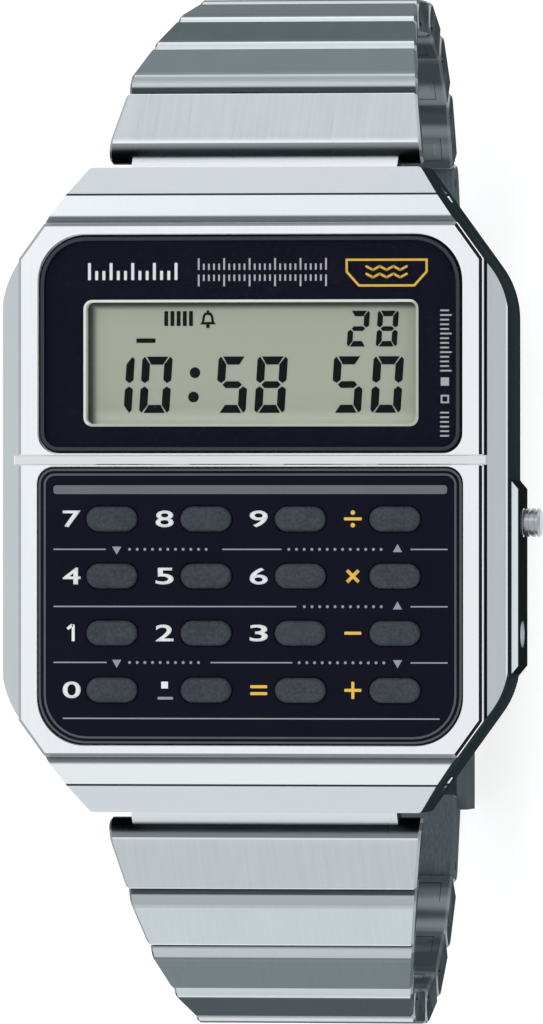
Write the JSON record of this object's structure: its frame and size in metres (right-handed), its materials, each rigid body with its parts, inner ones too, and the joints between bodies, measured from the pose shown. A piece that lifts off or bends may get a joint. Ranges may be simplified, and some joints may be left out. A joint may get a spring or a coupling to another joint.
{
  "type": "calculator watch",
  "caption": "Calculator wristwatch with a display window above a keypad, side pushers and a tapering steel link bracelet with a fold-over clasp.",
  "frame": {"origin": "on the outer face of the clasp cover, straight under the middle of the dial, where the closed bracelet stands", "axes": "+Z is the dial's normal, +Y points to twelve o'clock, +X to three o'clock, where the pushers are"},
  "size_m": [0.0363, 0.0704, 0.0495],
  "materials": {
    "case_steel": "brushed ends and polished bevels",
    "plate_steel": "fine brushed",
    "strip_steel": "polished",
    "window_glass": "clear",
    "panel_navy": "smooth near-black navy",
    "display_grey": "grey-green display",
    "contact_rubber": "matte",
    "frame_plastic": "moulded",
    "board_green": "coated board",
    "cell_steel": "satin",
    "spring_steel": "satin",
    "contact_brass": "satin",
    "seal_rubber": "matte",
    "back_steel": "brushed",
    "key_slate": "fine speckled",
    "pusher_steel": "turned",
    "link_steel": "brushed across, polished edge",
    "clasp_steel": "brushed along"
  },
  "bodies": {
    "case": {"case_body": "case_steel", "front_bezel": "plate_steel", "divider_strip": "strip_steel", "display_window": "window_glass", "display_mask": "panel_navy", "keypad_panel": "panel_navy", "lcd_panel": "display_grey", "contact_strips": "contact_rubber", "module_frame": "frame_plastic", "circuit_board": "board_green", "keypad_membrane": "contact_rubber", "coin_cell": "cell_steel", "cell_strap": "spring_steel", "buzzer_disc": "contact_brass", "switch_contacts": "contact_brass", "pusher_seals": "seal_rubber", "case_gasket": "seal_rubber", "case_back": "back_steel", "case_back_screws": "spring_steel", "spring_bars": "spring_steel"},
    "key_7": {"key_7": "key_slate"},
    "key_8": {"key_8": "key_slate"},
    "key_9": {"key_9": "key_slate"},
    "key_divide": {"key_divide": "key_slate"},
    "key_4": {"key_4": "key_slate"},
    "key_5": {"key_5": "key_slate"},
    "key_6": {"key_6": "key_slate"},
    "key_multiply": {"key_multiply": "key_slate"},
    "key_1": {"key_1": "key_slate"},
    "key_2": {"key_2": "key_slate"},
    "key_3": {"key_3": "key_slate"},
    "key_minus": {"key_minus": "key_slate"},
    "key_0": {"key_0": "key_slate"},
    "key_point": {"key_point": "key_slate"},
    "key_equals": {"key_equals": "key_slate"},
    "key_plus": {"key_plus": "key_slate"},
    "mode_pusher": {"mode_pusher": "pusher_steel"},
    "adjust_pusher": {"adjust_pusher": "pusher_steel"},
    "upper_link_1": {"upper_link_1": "link_steel"},
    "upper_link_2": {"upper_link_2": "link_steel"},
    "upper_link_3": {"upper_link_3": "link_steel"},
    "upper_link_4": {"upper_link_4": "link_steel"},
    "upper_link_5": {"upper_link_5": "link_steel"},
    "upper_link_6": {"upper_link_6": "link_steel"},
    "upper_link_7": {"upper_link_7": "link_steel"},
    "upper_link_8": {"upper_link_8": "link_steel"},
    "lower_link_1": {"lower_link_1": "link_steel"},
    "lower_link_2": {"lower_link_2": "link_steel"},
    "lower_link_3": {"lower_link_3": "link_steel"},
    "lower_link_4": {"lower_link_4": "link_steel"},
    "lower_link_5": {"lower_link_5": "link_steel"},
    "lower_link_6": {"lower_link_6": "link_steel"},
    "lower_link_7": {"lower_link_7": "link_steel"},
    "lower_link_8": {"lower_link_8": "link_steel"},
    "strap_end": {"strap_end": "clasp_steel", "clasp_slider": "clasp_steel"},
    "clasp_cover": {"clasp_cover": "clasp_steel"},
    "clasp_leaf": {"clasp_leaf": "clasp_steel"},
    "clasp_lock_plate": {"clasp_lock_plate": "clasp_steel"}
  },
  "joints": [
    {"name": "key_7_press", "type": "slide", "parent": "case", "child": "key_7", "axis": [0, 0, -1], "range_m": [0, 0.0003], "stiffness_N_per_m": 2000},
    {"name": "key_8_press", "type": "slide", "parent": "case", "child": "key_8", "axis": [0, 0, -1], "range_m": [0, 0.0003], "stiffness_N_per_m": 2000},
    {"name": "key_9_press", "type": "slide", "parent": "case", "child": "key_9", "axis": [0, 0, -1], "range_m": [0, 0.0003], "stiffness_N_per_m": 2000},
    {"name": "key_divide_press", "type": "slide", "parent": "case", "child": "key_divide", "axis": [0, 0, -1], "range_m": [0, 0.0003], "stiffness_N_per_m": 2000},
    {"name": "key_4_press", "type": "slide", "parent": "case", "child": "key_4", "axis": [0, 0, -1], "range_m": [0, 0.0003], "stiffness_N_per_m": 2000},
    {"name": "key_5_press", "type": "slide", "parent": "case", "child": "key_5", "axis": [0, 0, -1], "range_m": [0, 0.0003], "stiffness_N_per_m": 2000},
    {"name": "key_6_press", "type": "slide", "parent": "case", "child": "key_6", "axis": [0, 0, -1], "range_m": [0, 0.0003], "stiffness_N_per_m": 2000},
    {"name": "key_multiply_press", "type": "slide", "parent": "case", "child": "key_multiply", "axis": [0, 0, -1], "range_m": [0, 0.0003], "stiffness_N_per_m": 2000},
    {"name": "key_1_press", "type": "slide", "parent": "case", "child": "key_1", "axis": [0, 0, -1], "range_m": [0, 0.0003], "stiffness_N_per_m": 2000},
    {"name": "key_2_press", "type": "slide", "parent": "case", "child": "key_2", "axis": [0, 0, -1], "range_m": [0, 0.0003], "stiffness_N_per_m": 2000},
    {"name": "key_3_press", "type": "slide", "parent": "case", "child": "key_3", "axis": [0, 0, -1], "range_m": [0, 0.0003], "stiffness_N_per_m": 2000},
    {"name": "key_minus_press", "type": "slide", "parent": "case", "child": "key_minus", "axis": [0, 0, -1], "range_m": [0, 0.0003], "stiffness_N_per_m": 2000},
    {"name": "key_0_press", "type": "slide", "parent": "case", "child": "key_0", "axis": [0, 0, -1], "range_m": [0, 0.0003], "stiffness_N_per_m": 2000},
    {"name": "key_point_press", "type": "slide", "parent": "case", "child": "key_point", "axis": [0, 0, -1], "range_m": [0, 0.0003], "stiffness_N_per_m": 2000},
    {"name": "key_equals_press", "type": "slide", "parent": "case", "child": "key_equals", "axis": [0, 0, -1], "range_m": [0, 0.0003], "stiffness_N_per_m": 2000},
    {"name": "key_plus_press", "type": "slide", "parent": "case", "child": "key_plus", "axis": [0, 0, -1], "range_m": [0, 0.0003], "stiffness_N_per_m": 2000},
    {"name": "mode_pusher_press", "type": "slide", "parent": "case", "child": "mode_pusher", "axis": [-1, 0, 0], "range_m": [0, 0.0006], "stiffness_N_per_m": 2000},
    {"name": "adjust_pusher_press", "type": "slide", "parent": "case", "child": "adjust_pusher", "axis": [-1, 0, 0], "range_m": [0, 0.0005], "stiffness_N_per_m": 2000},
    {"name": "upper_lug_hinge", "type": "hinge", "parent": "case", "child": "upper_link_1", "pos_m": [0, 0.0198, 0.04363], "axis": [1, 0, 0], "range_deg": [0, 2]},
    {"name": "upper_pin_2_hinge", "type": "hinge", "parent": "upper_link_1", "child": "upper_link_2", "pos_m": [0, 0.02675, 0.03738], "axis": [1, 0, 0], "range_deg": [0, 1]},
    {"name": "upper_pin_3_hinge", "type": "hinge", "parent": "upper_link_2", "child": "upper_link_3", "pos_m": [0, 0.02903, 0.03248], "axis": [1, 0, 0], "range_deg": [0, 1]},
    {"name": "upper_pin_4_hinge", "type": "hinge", "parent": "upper_link_3", "child": "upper_link_4", "pos_m": [0, 0.03088, 0.02741], "axis": [1, 0, 0], "range_deg": [0, 1]},
    {"name": "upper_pin_5_hinge", "type": "hinge", "parent": "upper_link_4", "child": "upper_link_5", "pos_m": [0, 0.032, 0.02213], "axis": [1, 0, 0], "range_deg": [0, 1]},
    {"name": "upper_pin_6_hinge", "type": "hinge", "parent": "upper_link_5", "child": "upper_link_6", "pos_m": [0, 0.032, 0.01673], "axis": [1, 0, 0], "range_deg": [0, 1]},
    {"name": "upper_pin_7_hinge", "type": "hinge", "parent": "upper_link_6", "child": "upper_link_7", "pos_m": [0, 0.02998, 0.01172], "axis": [1, 0, 0], "range_deg": [0, 1]},
    {"name": "upper_pin_8_hinge", "type": "hinge", "parent": "upper_link_7", "child": "upper_link_8", "pos_m": [0, 0.02623, 0.00784], "axis": [1, 0, 0], "range_deg": [0, 1]},
    {"name": "lower_lug_hinge", "type": "hinge", "parent": "case", "child": "lower_link_1", "pos_m": [0, -0.0198, 0.04363], "axis": [-1, 0, 0], "range_deg": [0, 2]},
    {"name": "lower_pin_2_hinge", "type": "hinge", "parent": "lower_link_1", "child": "lower_link_2", "pos_m": [0, -0.02701, 0.03769], "axis": [-1, 0, 0], "range_deg": [0, 1]},
    {"name": "lower_pin_3_hinge", "type": "hinge", "parent": "lower_link_2", "child": "lower_link_3", "pos_m": [0, -0.03056, 0.03361], "axis": [-1, 0, 0], "range_deg": [0, 1]},
    {"name": "lower_pin_4_hinge", "type": "hinge", "parent": "lower_link_3", "child": "lower_link_4", "pos_m": [0, -0.03318, 0.02889], "axis": [-1, 0, 0], "range_deg": [0, 1]},
    {"name": "lower_pin_5_hinge", "type": "hinge", "parent": "lower_link_4", "child": "lower_link_5", "pos_m": [0, -0.03484, 0.02375], "axis": [-1, 0, 0], "range_deg": [0, 1]},
    {"name": "lower_pin_6_hinge", "type": "hinge", "parent": "lower_link_5", "child": "lower_link_6", "pos_m": [0, -0.03503, 0.01835], "axis": [-1, 0, 0], "range_deg": [0, 1]},
    {"name": "lower_pin_7_hinge", "type": "hinge", "parent": "lower_link_6", "child": "lower_link_7", "pos_m": [0, -0.03345, 0.01319], "axis": [-1, 0, 0], "range_deg": [0, 1]},
    {"name": "lower_pin_8_hinge", "type": "hinge", "parent": "lower_link_7", "child": "lower_link_8", "pos_m": [0, -0.03028, 0.00882], "axis": [-1, 0, 0], "range_deg": [0, 1]},
    {"name": "strap_end_hinge", "type": "hinge", "parent": "upper_link_8", "child": "strap_end", "pos_m": [0, 0.02146, 0.0053], "axis": [1, 0, 0], "range_deg": [0, 1]},
    {"name": "clasp_cover_hinge", "type": "hinge", "parent": "lower_link_8", "child": "clasp_cover", "pos_m": [0, -0.02619, 0.0053], "axis": [-1, 0, 0], "range_deg": [0, 80]},
    {"name": "clasp_leaf_hinge", "type": "hinge", "parent": "clasp_cover", "child": "clasp_leaf", "pos_m": [0, 0.01294, 0.00165], "axis": [-1, 0, 0], "range_deg": [0, 19]},
    {"name": "lock_plate_hinge", "type": "hinge", "parent": "strap_end", "child": "clasp_lock_plate", "pos_m": [0, 0.00124, 0.0045], "axis": [-1, 0, 0], "range_deg": [0, 70]}
  ],
  "couplings": [
    {"joint": "upper_lug_hinge", "follows": "clasp_cover_hinge", "ratio": 0.025},
    {"joint": "upper_pin_2_hinge", "follows": "clasp_cover_hinge", "ratio": 0.0125},
    {"joint": "upper_pin_3_hinge", "follows": "clasp_cover_hinge", "ratio": 0.0125},
    {"joint": "upper_pin_4_hinge", "follows": "clasp_cover_hinge", "ratio": 0.0125},
    {"joint": "upper_pin_5_hinge", "follows": "clasp_cover_hinge", "ratio": 0.0125},
    {"joint": "upper_pin_6_hinge", "follows": "clasp_cover_hinge", "ratio": 0.0125},
    {"joint": "upper_pin_7_hinge", "follows": "clasp_cover_hinge", "ratio": 0.0125},
    {"joint": "upper_pin_8_hinge", "follows": "clasp_cover_hinge", "ratio": 0.0125},
    {"joint": "lower_lug_hinge", "follows": "clasp_cover_hinge", "ratio": 0.025},
    {"joint": "lower_pin_2_hinge", "follows": "clasp_cover_hinge", "ratio": 0.0125},
    {"joint": "lower_pin_3_hinge", "follows": "clasp_cover_hinge", "ratio": 0.0125},
    {"joint": "lower_pin_4_hinge", "follows": "clasp_cover_hinge", "ratio": 0.0125},
    {"joint": "lower_pin_5_hinge", "follows": "clasp_cover_hinge", "ratio": 0.0125},
    {"joint": "lower_pin_6_hinge", "follows": "clasp_cover_hinge", "ratio": 0.0125},
    {"joint": "lower_pin_7_hinge", "follows": "clasp_cover_hinge", "ratio": 0.0125},
    {"joint": "lower_pin_8_hinge", "follows": "clasp_cover_hinge", "ratio": 0.0125},
    {"joint": "strap_end_hinge", "follows": "clasp_cover_hinge", "ratio": 0.0125},
    {"joint": "clasp_leaf_hinge", "follows": "clasp_cover_hinge", "ratio": 0.2375}
  ]
}
